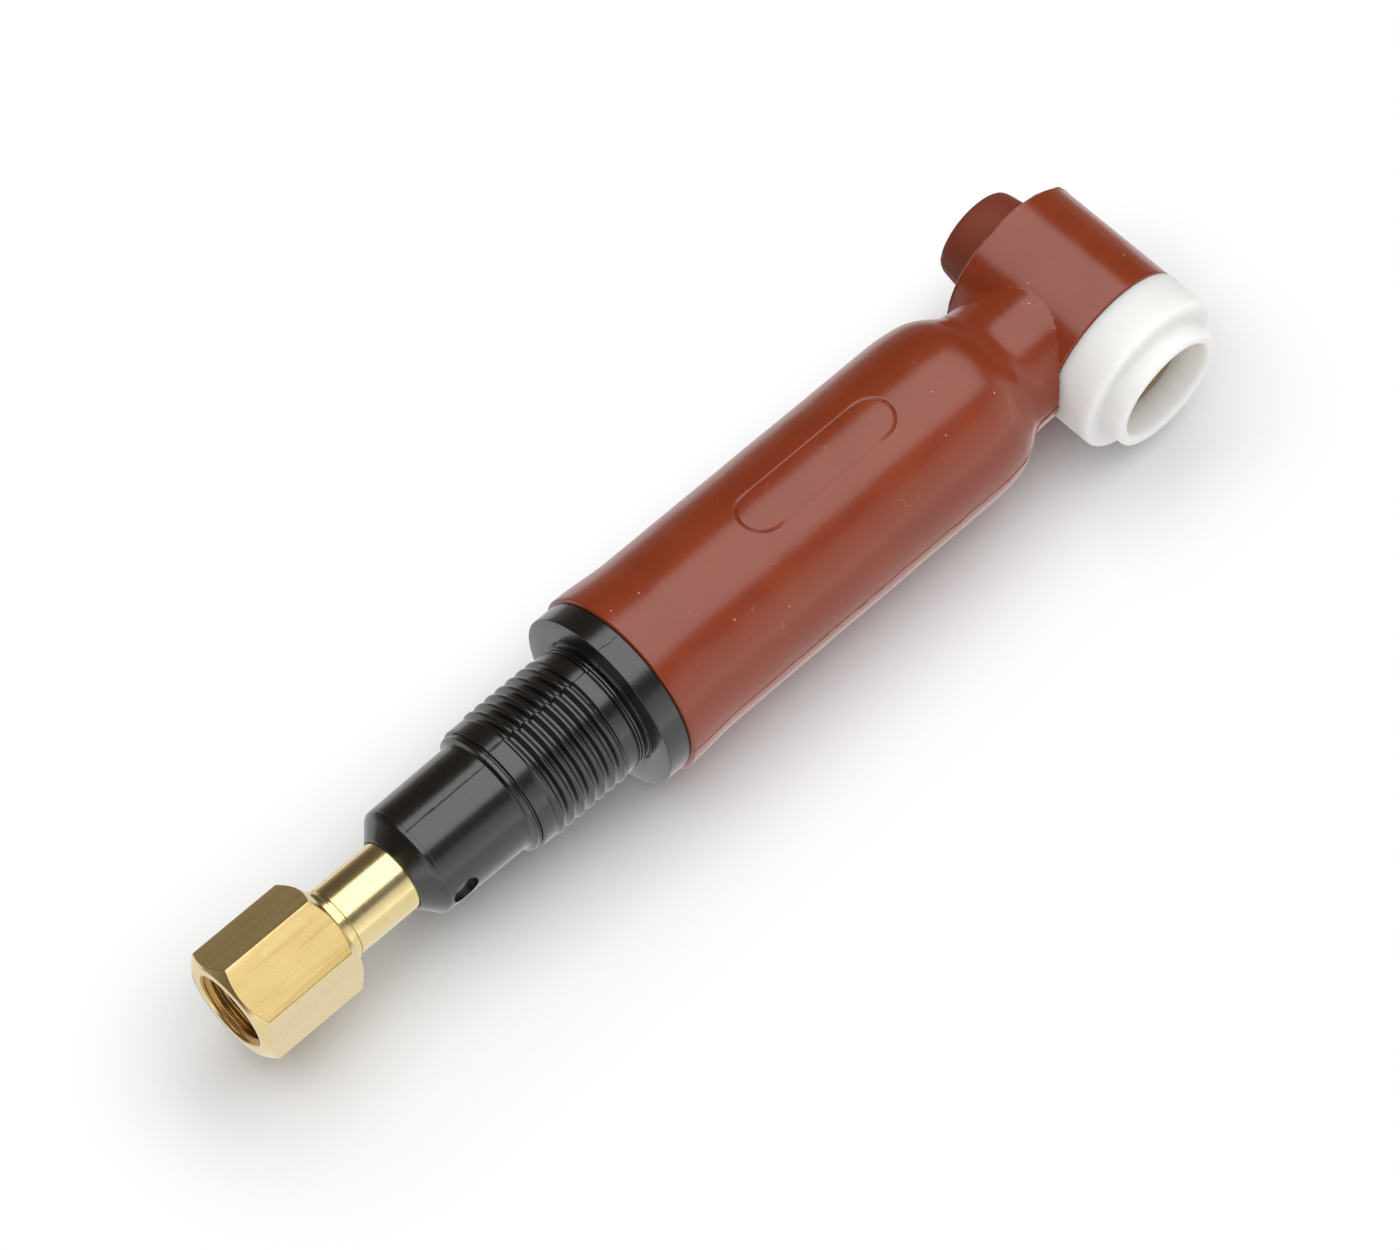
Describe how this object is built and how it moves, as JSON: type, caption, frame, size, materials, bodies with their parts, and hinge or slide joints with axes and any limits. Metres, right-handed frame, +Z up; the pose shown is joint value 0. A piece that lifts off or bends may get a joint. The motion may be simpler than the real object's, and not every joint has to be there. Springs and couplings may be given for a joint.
{
  "type": "tig torch",
  "caption": "Flexible-neck air-cooled TIG torch head with a brass cable adapter, a threaded handle connector, a rubber sleeved neck and a white cup gasket.",
  "frame": {"origin": "where the electrode axis crosses the handle axis, at the inner end of the collet body's thread", "axes": "+X along the handle axis towards the cable, +Y along the electrode axis towards the cup, +Z up as the torch lies on its side"},
  "size_m": [0.1402, 0.0312, 0.0238],
  "materials": {
    "brass": "turned and drawn brass with fine tool marks",
    "braze": "bright braze filler",
    "connector": "satin black moulded plastic",
    "silicone": "satin red-brown silicone rubber",
    "copper": "annealed copper",
    "ptfe": "smooth white PTFE"
  },
  "bodies": {
    "handle_end": {"cable_adapter": "brass", "rear_braze": "braze", "handle_connector": "connector", "neck_sleeve_rear": "silicone"},
    "neck": {"neck_tube": "copper", "neck_sleeve_middle": "silicone"},
    "head": {"head_body": "brass", "front_braze": "braze", "head_jacket": "silicone"},
    "gasket": {"cup_gasket": "ptfe"}
  },
  "joints": [
    {"name": "side_bend", "type": "hinge", "parent": "handle_end", "child": "neck", "pos_m": [0.054, 0, 0], "axis": [0, 0, 1], "range_deg": [-40, 40], "deforming": ["neck_tube", "neck_sleeve_middle"]},
    {"name": "up_bend", "type": "hinge", "parent": "neck", "child": "head", "pos_m": [0.032, 0, 0], "axis": [0, 1, 0], "range_deg": [-40, 40]},
    {"name": "gasket_pull", "type": "slide", "parent": "head", "child": "gasket", "axis": [0, 1, 0], "range_m": [0, 0.006]}
  ]
}
